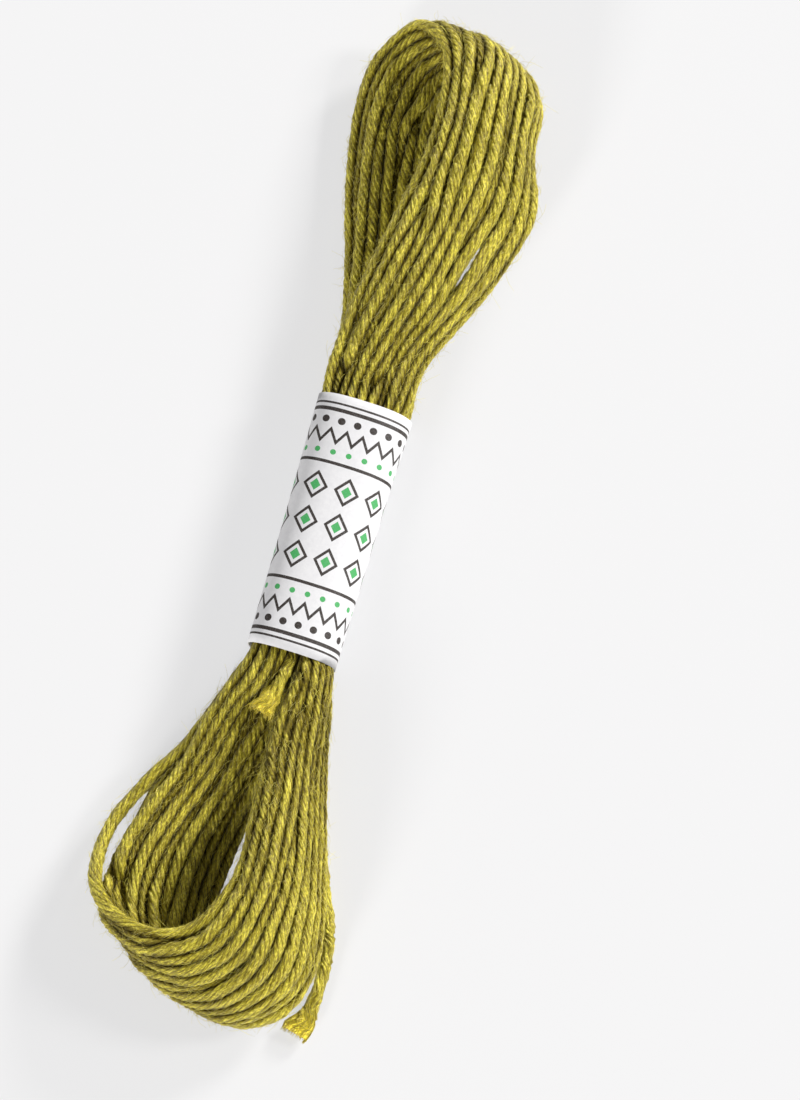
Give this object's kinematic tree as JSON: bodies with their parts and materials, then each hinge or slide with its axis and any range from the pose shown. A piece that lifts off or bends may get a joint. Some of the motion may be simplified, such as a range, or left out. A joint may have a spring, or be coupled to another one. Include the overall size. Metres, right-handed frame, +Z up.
{
  "type": "skein of embroidery floss with its paper band",
  "caption": "Looped hank of twisted embroidery thread, pinched in the middle by a plain paper band, with two cut ends showing.",
  "frame": {"origin": "middle of the skein's box, on the surface that it lies on", "axes": "+Z up, +Y along the skein from the foot loop, beside the two cut ends, to the head loop, +X to the right as seen from above"},
  "size_m": [0.0239, 0.0974, 0.0088],
  "materials": {
    "thread": "olive green twisted silk thread with a soft sheen",
    "paper": "matt white paper"
  },
  "bodies": {
    "root": {"skein": "thread", "loose_end": "thread", "outer_end": "thread", "band": "paper"}
  },
  "joints": []
}
